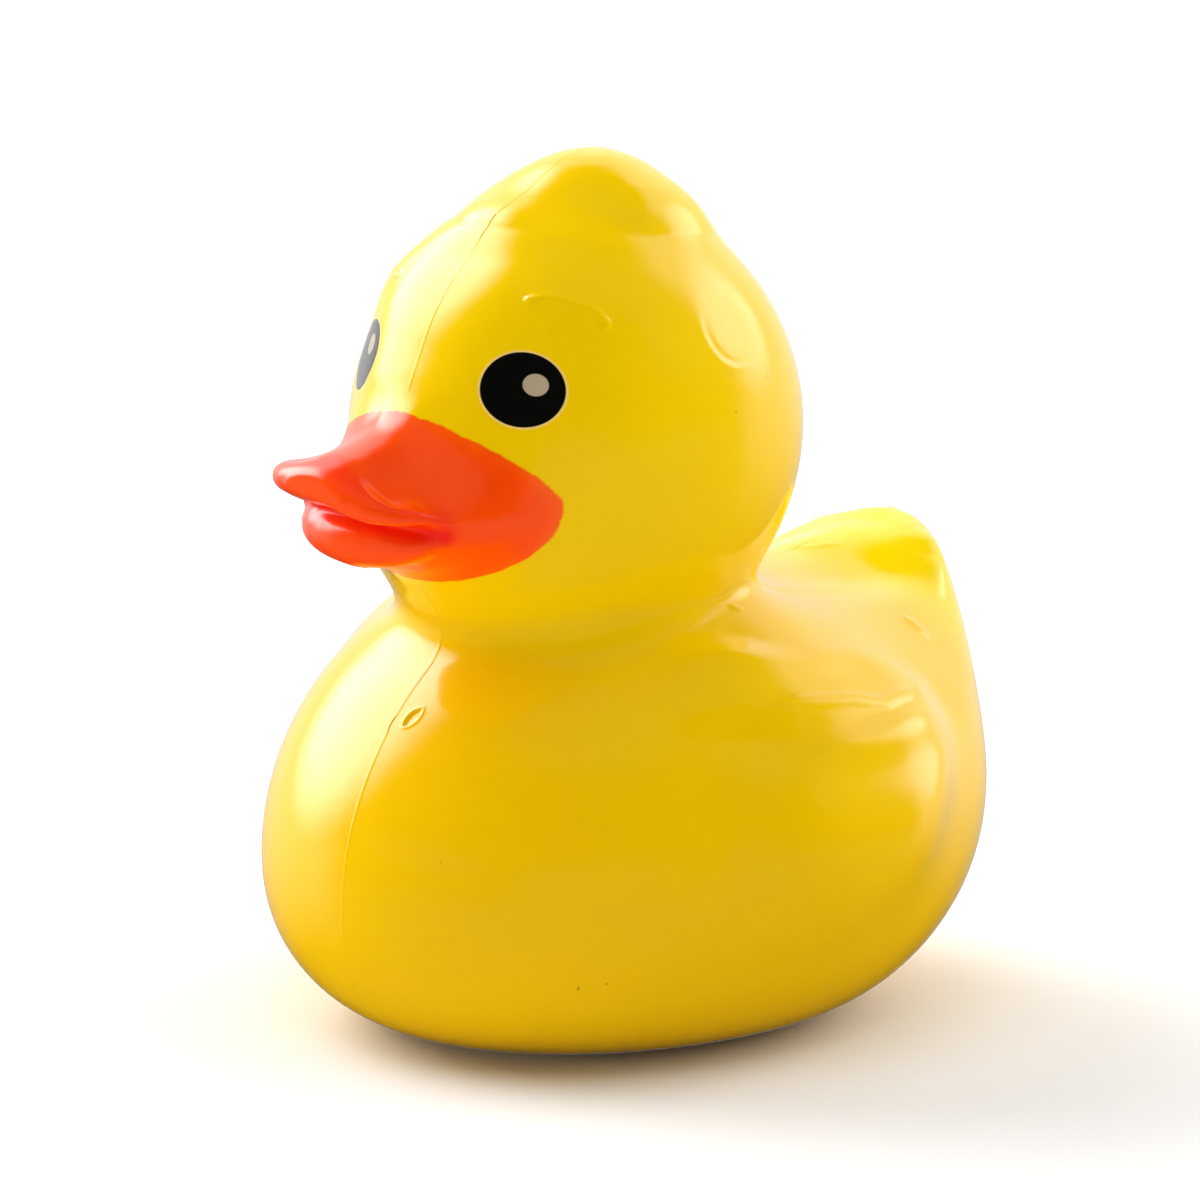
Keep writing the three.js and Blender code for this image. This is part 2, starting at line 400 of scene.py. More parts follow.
def dense(line: np.ndarray, gap: float = 0.3) -> np.ndarray:
    """Sets points close together along a line of straight runs.

    Args:
        line: The corners of the line, in order.
        gap: The widest gap between two points.

    Returns:
        The points.
    """
    spots = []
    for one, two in zip(line[:-1], line[1:]):
        count = 2 + int(np.linalg.norm(two - one) / gap)
        spots.extend(one + (two - one) * part for part in np.linspace(0.0, 1.0, count))
    return np.array(spots)


def distance_to(points: np.ndarray, spots: np.ndarray) -> np.ndarray:
    """Measures how far points lie from the nearest of some spots.

    Args:
        points: The points to measure.
        spots: The spots.

    Returns:
        The distance of each point.
    """
    tree = KDTree(len(spots))
    for k, spot in enumerate(spots):
        tree.insert(spot, k)
    tree.balance()
    return np.array([tree.find(p)[2] for p in points])


@dataclass(frozen=True)
class Regions:
    """Where the moulding's regions lie: turns and climbs in degrees, places in millimetres.

    Each method takes points and tells which of them lie in the region.
    """

    tuft_climb: float = 48.0
    tuft_middle: float = -4.4
    tuft_ahead: Pair = (6.0, 32.0)
    tuft_left: Pair = (56.0, 80.0)
    tuft_rear: Pair = (125.0, 150.0)
    beak_turn: float = 50.0
    beak_climb: Pair = (-32.0, 16.0)
    beak_rear: float = -14.0
    bills_rear: float = -27.0
    mouth_rear: float = -28.0
    neck_radius: float = 20.0
    neck_heights: Pair = (34.0, 48.0)
    neck_front_turn: float = 72.0
    wing_inner: float = 19.0
    wing_front: float = -9.0
    wing_high: float = 36.0
    wing_top_low: float = 29.6
    wing_front_low: float = 26.0
    wing_front_end: float = 3.0
    tail_front: float = 20.0
    tail_low: float = 30.0

    def tuft(self, points: np.ndarray) -> np.ndarray:
        """True high on the head, where the tuft meets it."""
        return HEAD.angles(points)[1] > self.tuft_climb

    def tuft_crisp(self, points: np.ndarray) -> np.ndarray:
        """Tells how crisp the tuft's foot is: ahead, round the right and at the left side.

        Args:
            points: The points.

        Returns:
            One where the foot is crisp, falling to nought elsewhere.
        """
        turn = np.degrees(np.arctan2(points[:, 0], -(points[:, 1] - self.tuft_middle)))
        ahead = 1.0 - rise(turn, *self.tuft_ahead)
        left = rise(turn, *self.tuft_left)
        return np.maximum(ahead, left) * (1.0 - rise(np.abs(turn), *self.tuft_rear))

    def beak(self, points: np.ndarray) -> np.ndarray:
        """Finds the beak and its root.

        Args:
            points: The points.

        Returns:
            True for points of the beak.
        """
        turn, climb = HEAD.angles(points)
        low, high = self.beak_climb
        near = (np.abs(turn) < self.beak_turn) & (climb > low) & (climb < high)
        return near & (points[:, 1] < self.beak_rear)

    def bills(self, points: np.ndarray) -> np.ndarray:
        """True on the free part of both bills."""
        return self.beak(points) & (points[:, 1] < self.bills_rear)

    def mouth(self, points: np.ndarray) -> np.ndarray:
        """True on the bills, clear of their root."""
        return self.beak(points) & (points[:, 1] < self.mouth_rear)

    def beak_root(self, points: np.ndarray) -> np.ndarray:
        """True where the beak grows out of the face."""
        return self.beak(points) & (points[:, 1] >= self.mouth_rear)

    def neck(self, points: np.ndarray) -> np.ndarray:
        """Finds where the head meets the body.

        Args:
            points: The points.

        Returns:
            True for points of the neck.
        """
        away = np.linalg.norm(points[:, :2] - np.array(HEAD.middle[:2]), axis=1)
        low, high = self.neck_heights
        return (~self.beak(points)) & (away < self.neck_radius) & (points[:, 2] > low) & (points[:, 2] < high)

    def neck_front(self, points: np.ndarray) -> np.ndarray:
        """True on the neck's front."""
        return self.neck(points) & (np.abs(HEAD.angles(points)[0]) < self.neck_front_turn)

    def neck_rear(self, points: np.ndarray) -> np.ndarray:
        """True on the neck's sides and rear."""
        return self.neck(points) & (np.abs(HEAD.angles(points)[0]) >= self.neck_front_turn)

    def wing(self, points: np.ndarray) -> np.ndarray:
        """True on the wings and what lies under them."""
        return (np.abs(points[:, 0]) > self.wing_inner) & (points[:, 2] < self.wing_high)

    def wing_top(self, points: np.ndarray) -> np.ndarray:
        """Finds the wings' upper edges and folds.

        Args:
            points: The points.

        Returns:
            True for points of the edges and folds.
        """
        ahead = (points[:, 2] > self.wing_front_low) & (points[:, 1] < self.wing_front_end)
        high = (points[:, 2] > self.wing_top_low) | ahead
        return self.wing(points) & high & (points[:, 1] > self.wing_front)

    def wing_rim(self, points: np.ndarray) -> np.ndarray:
        """True on the wings' front, lower and rear edges."""
        return self.wing(points) & ~self.wing_top(points)

    def tail(self, points: np.ndarray) -> np.ndarray:
        """True on the tail's rim."""
        return (points[:, 1] > self.tail_front) & (points[:, 2] > self.tail_low)


REGIONS = Regions()


@dataclass(frozen=True)
class CreaseRule:
    """What becomes of the plain solid's sharp edges in one region: how crisp they stay, and how far round."""

    holds: Callable[[np.ndarray], np.ndarray]
    kept: float
    spread: float
    rounds: int = 0


CREASES: tuple[CreaseRule, ...] = (
    CreaseRule(REGIONS.tuft, kept=0.0, spread=2.8, rounds=60),
    CreaseRule(REGIONS.mouth, kept=0.75, spread=1.5),
    CreaseRule(REGIONS.beak_root, kept=0.0, spread=2.5, rounds=60),
    CreaseRule(REGIONS.neck_front, kept=0.0, spread=4.0, rounds=120),
    CreaseRule(REGIONS.neck_rear, kept=0.75, spread=1.5),
    CreaseRule(REGIONS.wing_top, kept=0.0, spread=2.0, rounds=25),
    CreaseRule(REGIONS.wing_rim, kept=0.0, spread=4.5, rounds=160),
    CreaseRule(REGIONS.tail, kept=0.0, spread=2.5, rounds=20),
)


class Mark:
    """A fold, line or mark on the skin, which may need smaller faces where it runs."""

    reach: float = 1.0
    cuts: int = 1

    def spots(self, net: SkinNet) -> np.ndarray:
        """Points of the skin along the mark."""
        raise NotImplementedError

    def sculpt(self, net: SkinNet) -> None:
        """Moves the skin's points to shape the mark."""
        raise NotImplementedError

    def refine(self, mesh: bpy.types.Mesh) -> None:
        """Gives the skin smaller faces along the mark.

        Args:
            mesh: The skin's mesh.
        """
        if not self.cuts:
            return
        net = SkinNet(mesh)
        close = distance_to(net.points, self.spots(net)) < self.reach
        shell = bmesh.new()
        shell.from_mesh(mesh)
        edges = [edge for edge in shell.edges if all(close[vert.index] for vert in edge.verts)]
        bmesh.ops.subdivide_edges(shell, edges=edges, cuts=self.cuts, use_grid_fill=True)
        shell.to_mesh(mesh)
        shell.free()


@dataclass(frozen=True)
class FaceShape(Mark):
    """The face's flat front above the beak, and the full cheeks beside it."""

    flat_depth: float = 1.1
    flat_turn: float = 30.0
    flat_climb: Span = (4.0, 28.0, 50.0, 64.0)
    cheek_height: float = 0.5
    cheek_place: Pair = (52.0, 3.0)
    cheek_width: float = 16.0
    lowest: float = 42.0
    cuts: int = 0

    def sculpt(self, net: SkinNet) -> None:
        """Draws the face in and swells the cheeks.

        Args:
            net: The skin.
        """
        turn, climb = HEAD.angles(net.points)
        flat = bell(turn, self.flat_turn) * between(climb, self.flat_climb)
        cheek = bell(np.abs(turn) - self.cheek_place[0], self.cheek_width)
        cheek = cheek * bell(climb - self.cheek_place[1], self.cheek_width)
        head = net.points[:, 2] > self.lowest
        net.push(np.where(head, self.cheek_height * cheek - self.flat_depth * flat, 0.0))


@dataclass(frozen=True)
class TuftFoot(Mark):
    """The crisp crease round the tuft, ahead and at its sides, where its flank meets the head."""

    half_width: float = 10.9
    half_length: float = 12.4
    height: float = 0.62
    steepness: float = 1.6
    top_fade: Pair = (1.0, 6.5)
    dip: float = 0.12
    dip_reach: float = 2.0
    low_fade: Pair = (66.0, 69.0)
    near: float = 0.5

    def inward(self, points: np.ndarray) -> np.ndarray:
        """Measures how far points lie inside the crease, seen from above.

        Args:
            points: The points.

        Returns:
            The distance of each, below nought outside the crease.
        """
        aside = points[:, 0] / self.half_width
        ahead = (points[:, 1] - REGIONS.tuft_middle) / self.half_length
        return (1.0 - np.hypot(aside, ahead)) * 0.5 * (self.half_width + self.half_length)

    def spots(self, net: SkinNet) -> np.ndarray:
        """Points of the skin close to the crease."""
        close = np.abs(self.inward(net.points)) < self.near
        return net.points[close & (net.points[:, 2] > self.low_fade[0])]

    def sculpt(self, net: SkinNet) -> None:
        """Fills the tuft out above its crisp foot, steepest at the crease.

        Args:
            net: The skin.
        """
        inward = self.inward(net.points)
        flank = self.height * (1.0 - np.exp(-np.clip(inward, 0.0, None) / self.steepness))
        flank = flank * (1.0 - rise(inward, *self.top_fade))
        dip = self.dip * np.exp(-np.abs(inward) / self.dip_reach)
        net.push((flank - dip) * REGIONS.tuft_crisp(net.points) * rise(net.points[:, 2], *self.low_fade))


@dataclass(frozen=True)
class FoldLine(Mark):
    """A raised or sunken line on the skin, given by places on the duck's left."""

    line: tuple[Triple, ...]
    height: float
    width: float
    ends: Pair = (0.2, 0.25)
    sides: tuple[Side, ...] = (Side.LEFT, Side.RIGHT)
    cuts: int = 1
    reach_widths: float = 6.0

    def lines(self, net: SkinNet) -> list[np.ndarray]:
        """Lays the line onto the skin.

        Args:
            net: The skin.

        Returns:
            The line on each side.
        """
        laid = []
        for side in self.sides:
            wanted = np.array(self.line) * np.array((side.value, 1.0, 1.0))
            laid.append(np.array([net.closest(place) for place in wanted]))
        return laid

    def spots(self, net: SkinNet) -> np.ndarray:
        """Points close together along the lines."""
        return np.concatenate([dense(line) for line in self.lines(net)])

    def sculpt(self, net: SkinNet) -> None:
        """Raises or sinks the line on its sides.

        Args:
            net: The skin.
        """
        for line in self.lines(net):
            away, along = line_distance(net.points, line)
            ends = between(along, (0.0, self.ends[0], 1.0 - self.ends[1], 1.0))
            close = away < self.reach_widths * self.width
            net.push(np.where(close, self.height * bell(away, self.width) * ends, 0.0))


@dataclass(frozen=True)
class TailHollow(Mark):
    """The hollow on each side of the tail's top, drawn out to the front, given by its place on the left."""

    place: Triple = (8.4, 24.8, 38.2)
    depth: float = 1.4
    width: float = 4.6
    front_squeeze: float = 0.45
    cuts: int = 0

    def sculpt(self, net: SkinNet) -> None:
        """Presses the hollow in on both sides.

        Args:
            net: The skin.
        """
        for side in Side:
            away = net.points - np.array(self.place) * np.array((side.value, 1.0, 1.0))
            away[:, 1] *= np.where(away[:, 1] < 0.0, self.front_squeeze, 1.0)
            net.push(-self.depth * bell(np.linalg.norm(away, axis=1), self.width))


@dataclass(frozen=True)
class BillLips(Mark):
    """The upper bill's rolled lip, the hollow behind it and the line of the mouth, from right to left.

    The lip hangs a little lower on the duck's left.
    """

    core: Triple = (0.0, -28.0, 51.2)
    droop: float = 1.3
    droop_height: float = 52.3
    droop_reach: float = 1.8
    droop_aside: Pair = (0.5, 6.0)
    droop_ahead: Pair = (27.0, 31.0)
    roll: tuple[Triple, ...] = (
        (-9.9, -30.4, 51.7), (-8.1, -33.5, 52.5), (-5.9, -35.5, 53.1), (-3.0, -36.9, 53.3),
        (0.0, -37.3, 52.9), (3.0, -37.0, 52.1), (4.9, -36.4, 51.6), (7.0, -35.3, 51.0), (8.2, -33.4, 50.4),
        (9.9, -30.4, 49.8),
    )
    hollow: tuple[Triple, ...] = (
        (-9.6, -31.0, 53.3), (-8.8, -32.8, 53.9), (-6.1, -35.3, 54.7), (-3.0, -35.9, 55.0),
        (0.0, -35.8, 54.8), (2.6, -36.3, 54.1), (4.5, -36.2, 53.5), (6.1, -36.0, 53.0), (7.9, -34.6, 52.0),
        (8.6, -32.7, 51.4), (9.6, -30.8, 50.9),
    )
    mouth: tuple[Triple, ...] = (
        (-9.0, -30.3, 49.2), (-8.3, -31.3, 49.5), (-5.7, -33.4, 49.8), (-2.2, -34.4, 50.2),
        (0.4, -34.5, 50.2), (2.5, -34.2, 49.9), (4.1, -33.8, 49.7), (5.7, -33.3, 49.3), (6.7, -32.7, 49.1),
        (8.3, -31.3, 48.9), (9.0, -30.3, 48.7),
    )
    line_ends: Span = (0.0, 0.15, 0.85, 1.0)
    roll_height: float = 0.45
    roll_width: float = 1.5
    hollow_depth: float = 0.35
    hollow_width: float = 1.15
    hollow_at_ridge: float = 0.3
    mouth_depth: float = 0.55
    mouth_width: float = 0.7
    ridge: Pair = (1.5, 5.0)
    flank_aside: Span = (2.5, 5.0, 14.0, 17.0)
    flank_ahead: Span = (19.0, 22.0, 31.0, 34.0)
    flank_heights: Span = (50.0, 52.0, 58.0, 60.0)
    flank_share: float = 0.5
    flank_rounds: int = 70
    pinch: float = 0.9
    pinch_height: float = 52.8
    pinch_skew: float = 3.0
    pinch_blend: Pair = (-1.0, 2.0)
    pinch_top: Pair = (58.0, 60.0)
    pinch_ahead: Span = (24.0, 28.0, 34.5, 36.5)
    lip_share: float = 0.4
    lip_rounds: int = 8
    # How far the deeper red, for thick paint and painted shade, reaches into the hollow and the mouth
    hollow_pool_and_shade: float = 0.5
    hollow_pool_and_shade_width: float = 1.3
    mouth_pool_and_shade_width: float = 1.0
    reach: float = 1.6

    def spots(self, net: SkinNet) -> np.ndarray:
        """Points close together along the three lines."""
        return np.concatenate([dense(np.array(line)) for line in (self.roll, self.hollow, self.mouth)])

    def pinch_flanks(self, net: SkinNet) -> None:
        """Draws the upper bill in between its ridge and the hollow behind the lip.

        Args:
            net: The skin.
        """
        x, y, z = net.points.T
        over = rise(z - self.pinch_height + np.tanh(x / self.pinch_skew), *self.pinch_blend)
        over = over * (1.0 - rise(z, *self.pinch_top))
        net.push(-self.pinch * rise(np.abs(x), *self.ridge) * over * between(-y, self.pinch_ahead))

    def smooth_flanks(self, net: SkinNet) -> None:
        """Rounds the bill's flanks between the face and the lip.

        Args:
            net: The skin.
        """
        x, y, z = net.points.T
        share = between(np.abs(x), self.flank_aside) * between(-y, self.flank_ahead)
        share = share * between(z, self.flank_heights)
        net.relax(self.flank_share * share, self.flank_rounds)

    def along_line(self, net: SkinNet, line: tuple[Triple, ...], width: float) -> np.ndarray:
        """A hump along one of the lines, which fades at its ends."""
        away, along = line_distance(net.points, np.array(line))
        return bell(away, width) * between(along, self.line_ends)

    def sculpt(self, net: SkinNet) -> None:
        """Shapes the flanks, lowers the lip on the left, then shapes the roll, the hollow and the mouth.

        Args:
            net: The skin.
        """
        self.pinch_flanks(net)
        self.smooth_flanks(net)
        x, y, z = net.points.T
        left = rise(x, *self.droop_aside) * rise(-y, *self.droop_ahead)
        net.points[:, 2] -= self.droop * left * bell(z - self.droop_height, self.droop_reach)
        outward = net.points - np.array(self.core)
        outward = outward / np.linalg.norm(outward, axis=1)[:, None]
        beak = REGIONS.beak(net.points)
        off_ridge = rise(np.abs(net.points[:, 0]), *self.ridge)
        aside = self.hollow_at_ridge + (1.0 - self.hollow_at_ridge) * off_ridge
        sunk = self.hollow_depth * self.along_line(net, self.hollow, self.hollow_width) * aside
        sunk = sunk + self.mouth_depth * self.along_line(net, self.mouth, self.mouth_width)
        full = self.roll_height * self.along_line(net, self.roll, self.roll_width)
        net.push(np.where(beak, full, 0.0))
        net.points -= outward * np.where(beak, sunk, 0.0)[:, None]
        net.relax(np.where(REGIONS.bills(net.points), self.lip_share, 0.0), self.lip_rounds)

    def pooled_and_shaded(self, net: SkinNet) -> np.ndarray:
        """Tells where the paint is drawn deeper red, for thick paint and as painted shade: most in the hollow
        and the mouth.

        Args:
            net: The finished skin.

        Returns:
            A value from nought to one for each point.
        """
        hollow = bell(line_distance(net.points, np.array(self.hollow))[0], self.hollow_pool_and_shade_width)
        mouth = bell(line_distance(net.points, np.array(self.mouth))[0], self.mouth_pool_and_shade_width)
        return np.clip(self.hollow_pool_and_shade * hollow + mouth, 0.0, 1.0)


@dataclass(frozen=True)
class BrowFold(Mark):
    """A low fold above each eye, with a fine line along its lower edge that is strongest at its tips."""

    line: tuple[Pair, ...] = (
        (29.0, 40.5), (32.5, 41.3), (36.3, 41.8), (40.9, 41.6), (46.9, 40.5), (52.0, 38.4), (54.4, 36.0),
        (54.2, 33.0),
    )
    height: float = 0.3
    width: float = 3.4
    ends: Span = (0.0, 0.5, 0.6, 1.0)
    line_height: float = 0.28
    line_width: float = 0.34
    line_ends: Span = (0.0, 0.08, 0.9, 1.0)
    line_middle: float = 0.4
    line_tips: Pair = (0.2, 0.4)
    farthest: float = 12.0
    cuts: int = 2

    def lines(self, net: SkinNet) -> list[np.ndarray]:
        """The fold's line on each side of the head."""
        turned = [[(turn * side.value, climb) for turn, climb in self.line] for side in Side]
        return [np.array([net.nearest(*place) for place in line]) for line in turned]

    def spots(self, net: SkinNet) -> np.ndarray:
        """Points close together along both lines."""
        return np.concatenate([dense(line) for line in self.lines(net)])

    def sculpt(self, net: SkinNet) -> None:
        """Raises the fold on both sides of the head.

        Args:
            net: The skin.
        """
        for line in self.lines(net):
            away, along = line_distance(net.points, line)
            fold = self.height * bell(away, self.width) * between(along, self.ends)
            tips = self.line_middle + (1.0 - self.line_middle) * rise(np.abs(along - 0.5), *self.line_tips)
            fine = self.line_height * bell(away, self.line_width) * tips * between(along, self.line_ends)
            net.push(np.where(away < self.farthest, fold + fine, 0.0))


@dataclass(frozen=True)
class RoundDent(Mark):
    """A shallow round pan on the left rear of the head, with a crisp lip and a groove at its lower front.

    The pan's reach and the farthest point moved are given in radii, and the groove in lip heights and widths.
    """

    place: Pair = (99.0, 32.0)
    radius: float = 3.6
    depth: float = 0.2
    pan_reach: float = 1.3
    lip: float = 0.045
    lip_width: float = 0.3
    lip_lean: float = 0.8
    lip_span: Pair = (0.1, 0.9)
    groove: float = 1.2
    groove_shift: float = 1.6
    farthest: float = 2.5
    rim_near: float = 0.6

    def spots(self, net: SkinNet) -> np.ndarray:
        """Points of the skin near the pan's rim."""
        reach = np.linalg.norm(net.points - net.nearest(*self.place), axis=1)
        return net.points[np.abs(reach - self.radius) < self.rim_near]

    def sculpt(self, net: SkinNet) -> None:
        """Presses the pan into the skin.

        Args:
            net: The skin.
        """
        away = net.points - net.nearest(*self.place)
        reach = np.linalg.norm(away, axis=1)
        pan = -self.depth * (1.0 - rise(reach, 0.0, self.pan_reach * self.radius))
        low_front = rise((-away[:, 2] - self.lip_lean * away[:, 1]) / self.radius, *self.lip_span)
        edge = reach - self.radius
        lip = self.lip * low_front * bell(edge, self.lip_width)
        inner = bell(edge + self.groove_shift * self.lip_width, self.lip_width)
        groove = -self.groove * self.lip * low_front * inner
        net.push(np.where(reach < self.farthest * self.radius, pan + lip + groove, 0.0))


@dataclass(frozen=True)
class LeafNick(Mark):
    """A small leaf-shaped nick on the chest, with a raised rim. Its fading ends are given in lengths."""

    place: Triple = (2.0, -27.9, 31.2)
    along: Triple = (0.33, 0.47, 0.52)
    length: float = 2.6
    width: float = 1.1
    depth: float = 0.14
    wall: Pair = (-0.2, 0.1)
    rim: float = 0.06
    rim_shift: float = 0.1
    rim_width: float = 0.2
    ends: Pair = (0.42, 0.6)
    farthest: float = 2.5
    reach: float = 1.6
    cuts: int = 3

    def spots(self, net: SkinNet) -> np.ndarray:
        """The nick's middle line."""
        half = 0.5 * self.length * unit(self.along)
        return dense(np.array([np.array(self.place) - half, np.array(self.place) + half]))

    def sculpt(self, net: SkinNet) -> None:
        """Cuts the nick into the skin.

        Args:
            net: The skin.
        """
        away = net.points - np.array(self.place)
        close = np.linalg.norm(away, axis=1) < self.farthest * self.length
        axis = unit(self.along)
        run = away @ axis
        across = np.linalg.norm(away - run[:, None] * axis, axis=1)
        half = 0.5 * self.width * np.clip(1.0 - (run / (0.5 * self.length)) ** 2, 0.0, None)
        edge = across - half
        ends = 1.0 - rise(np.abs(run), self.ends[0] * self.length, self.ends[1] * self.length)
        cut = -self.depth * (1.0 - rise(edge, *self.wall))
        rim = self.rim * bell(edge - self.rim_shift, self.rim_width)
        net.push(np.where(close, (cut + rim) * ends, 0.0))


@dataclass(frozen=True)
class PartingLine:
    """The fine raised line where the two halves of the mould met, round the middle of the duck."""

    height: float = 0.085
    half_width: float = 0.22
    snap: float = 0.02
    on_line: float = 0.05
    middle_height: float = 40.0
    uneven: float = 0.25
    swell: float = 7.0
    second_swell: float = 2.3
    beak_rear: float = -24.0
    foot_fade: Pair = (1.0, 4.0)

    def cut(self, shell: bmesh.types.BMesh) -> None:
        """Gives the net points exactly along the line and beside it.

        Args:
            shell: The skin's net.
        """
        for x in (-self.half_width, 0.0, self.half_width):
            bmesh.ops.bisect_plane(
                shell,
                geom=[*shell.verts, *shell.edges, *shell.faces],
                dist=self.snap * MM,
                plane_co=(x * MM, 0.0, 0.0),
                plane_no=(1.0, 0.0, 0.0),
            )

    def sculpt(self, net: SkinNet) -> None:
        """Raises the line, stronger and weaker by turns, and leaves the beak and foot smooth.

        Args:
            net: The skin.
        """
        points = net.points
        line = np.abs(points[:, 0]) < self.on_line
        turn = np.arctan2(points[:, 2] - self.middle_height, points[:, 1])
        waves = np.sin(turn * self.swell) * np.sin(turn * self.second_swell * self.swell + 1.0)
        strength = 1.0 - self.uneven + self.uneven * waves
        beak = REGIONS.beak(points) & (points[:, 1] < self.beak_rear)
        clear = np.where(beak, 0.0, 1.0) * rise(points[:, 2], *self.foot_fade)
        net.push(np.where(line, self.height * strength * clear, 0.0))


@dataclass
class MouldedSkin:
    """The duck's one moulded skin, softened from the plain solid, with its folds and marks."""

    node: str = "duck"
    body: str = "root"
    slot: str = "vinyl"
    name: str = "duck_skin"
    weld: float = 0.001
    voxel: float = 0.6
    sharp_angle: float = 22.0
    sharp_gap: float = 0.4
    share: float = 0.5
    plain_rounds: int = 36
    beak_share: float = 0.3
    tuft_share: float = 0.15
    tuft_climb: Pair = (50.0, 58.0)
    parting: PartingLine = PartingLine()
    lips: BillLips = BillLips()
    marks: tuple[Mark, ...] = (
        FaceShape(),
        TuftFoot(),
        # The ridge along the top of the tail
        FoldLine(
            line=((0.0, 21.0, 38.5), (0.0, 25.0, 39.0), (0.0, 29.0, 40.0), (0.0, 33.0, 40.5)),
            height=0.6,
            width=3.5,
            ends=(0.4, 0.4),
            sides=(Side.LEFT,),
            cuts=0,
        ),
        TailHollow(),
        # The tail's raised rim, from its tip down each side
        FoldLine(
            line=(
                (4.5, 33.6, 39.8), (6.8, 33.2, 38.7), (8.7, 32.2, 37.5), (11.0, 30.2, 36.2),
                (13.0, 28.2, 34.8),
            ),
            height=0.45,
            width=1.3,
            ends=(0.3, 0.4),
        ),
        # A fine curved line on top of the tail
        FoldLine(
            line=(
                (-3.8, 23.4, 38.5), (-0.8, 22.4, 38.6), (1.2, 23.1, 38.6), (2.1, 24.8, 38.7),
                (2.6, 26.5, 38.8),
            ),
            height=0.07,
            width=0.25,
            sides=(Side.LEFT,),
        ),
        # The low fold on the flank above the wing
        FoldLine(
            line=(
                (22.1, -7.2, 34.5), (21.9, -5.8, 35.0), (22.3, -2.5, 35.3), (22.7, 1.0, 35.1),
                (22.6, 4.9, 34.5), (22.5, 8.8, 33.5), (22.6, 11.4, 32.7), (22.3, 13.7, 32.3),
            ),
            height=0.25,
            width=2.0,
            ends=(0.5, 0.35),
        ),
        # The fine ridge along the wing's upper edge
        FoldLine(
            line=(
                (24.7, -10.4, 30.8), (25.3, -6.8, 31.8), (25.8, -3.5, 31.9), (26.5, 1.5, 31.6),
                (27.1, 5.4, 30.8), (26.5, 7.6, 30.7), (25.6, 10.2, 30.7), (24.8, 12.3, 30.9),
                (23.1, 15.4, 30.9), (22.0, 17.5, 31.2),
            ),
            height=0.22,
            width=0.6,
        ),
        # The second fold, below that edge
        FoldLine(
            line=(
                (29.0, -8.6, 27.4), (29.3, -5.2, 28.2), (29.6, -1.6, 28.5), (29.7, 1.4, 28.5),
                (29.5, 4.1, 28.6), (29.2, 6.4, 28.8), (28.4, 9.2, 29.1), (27.4, 11.5, 29.6),
                (24.5, 15.3, 30.0),
            ),
            height=0.6,
            width=1.6,
            ends=(0.3, 0.35),
        ),
        # The broad swell down the flank's front
        FoldLine(
            line=(
                (18.6, -4.6, 37.9), (20.6, -6.4, 36.2), (22.3, -8.0, 34.2), (23.9, -9.3, 32.0),
                (25.2, -10.4, 29.8),
            ),
            height=1.0,
            width=5.0,
            ends=(0.3, 0.3),
            cuts=0,
        ),
        # The broad swell along the wing's upper edge
        FoldLine(
            line=(
                (24.7, -10.4, 30.8), (25.8, -3.5, 31.9), (27.1, 5.4, 30.8), (24.8, 12.3, 30.9),
                (22.0, 17.5, 31.2),
            ),
            height=0.9,
            width=5.0,
            ends=(0.3, 0.4),
            cuts=0,
        ),
        # The broad swell along the wing's rear edge
        FoldLine(
            line=(
                (31.2, 2.6, 27.4), (32.2, 4.0, 24.2), (32.5, 5.0, 22.0), (32.5, 5.6, 19.8), (31.3, 7.0, 16.5),
                (29.3, 9.3, 12.4),
            ),
            height=0.35,
            width=5.0,
            ends=(0.4, 0.4),
            cuts=0,
        ),
        BrowFold(),
        RoundDent(),
        LeafNick(),
        # A short raised mark on the left of the back
        FoldLine(
            line=((15.4, 20.4, 35.0), (16.0, 21.3, 34.4), (16.8, 21.6, 33.7), (17.7, 22.7, 32.7)),
            height=0.15,
            width=0.5,
            sides=(Side.LEFT,),
        ),
        # A short raised line where the neck meets the left shoulder
        FoldLine(
            line=((15.9, -2.6, 39.1), (16.4, -2.1, 39.3), (16.9, -1.5, 39.5)),
            height=0.14,
            width=0.25,
            sides=(Side.LEFT,),
        ),
    )

    def plain_solid(self) -> bpy.types.Mesh:
        """Copies the solid.

        Returns:
            A welded copy of the solid's mesh.
        """
        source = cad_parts[self.node].data
        shell = bmesh.new()
        shell.from_mesh(source)
        bmesh.ops.remove_doubles(shell, verts=shell.verts, dist=self.weld * MM)
        welded = bpy.data.meshes.new("welded")
        shell.to_mesh(welded)
        shell.free()
        return welded

    def sharp_spots(self, welded: bpy.types.Mesh) -> np.ndarray:
        """Sets points along the solid's sharp edges.

        Args:
            welded: The solid's mesh.

        Returns:
            The points, in millimetres.
        """
        shell = bmesh.new()
        shell.from_mesh(welded)
        limit = math.radians(self.sharp_angle)
        spots = []
        for edge in shell.edges:
            if len(edge.link_faces) == 2 and edge.calc_face_angle(0.0) > limit:
                spots.extend(dense(np.array([np.array(v.co) / MM for v in edge.verts]), self.sharp_gap))
        shell.free()
        return np.array(spots)

    def remeshed(self, welded: bpy.types.Mesh) -> bpy.types.Mesh:
        """Lays an even net of small faces over the solid.

        Args:
            welded: The solid's mesh.

        Returns:
            The net.
        """
        carrier = bpy.data.objects.new("carrier", welded)
        bpy.context.scene.collection.objects.link(carrier)
        remesh = carrier.modifiers.new("even", "REMESH")
        remesh.mode = "VOXEL"
        remesh.voxel_size = self.voxel * MM
        graph = bpy.context.evaluated_depsgraph_get()
        even = bpy.data.meshes.new_from_object(carrier.evaluated_get(graph))
        bpy.data.objects.remove(carrier)
        return even

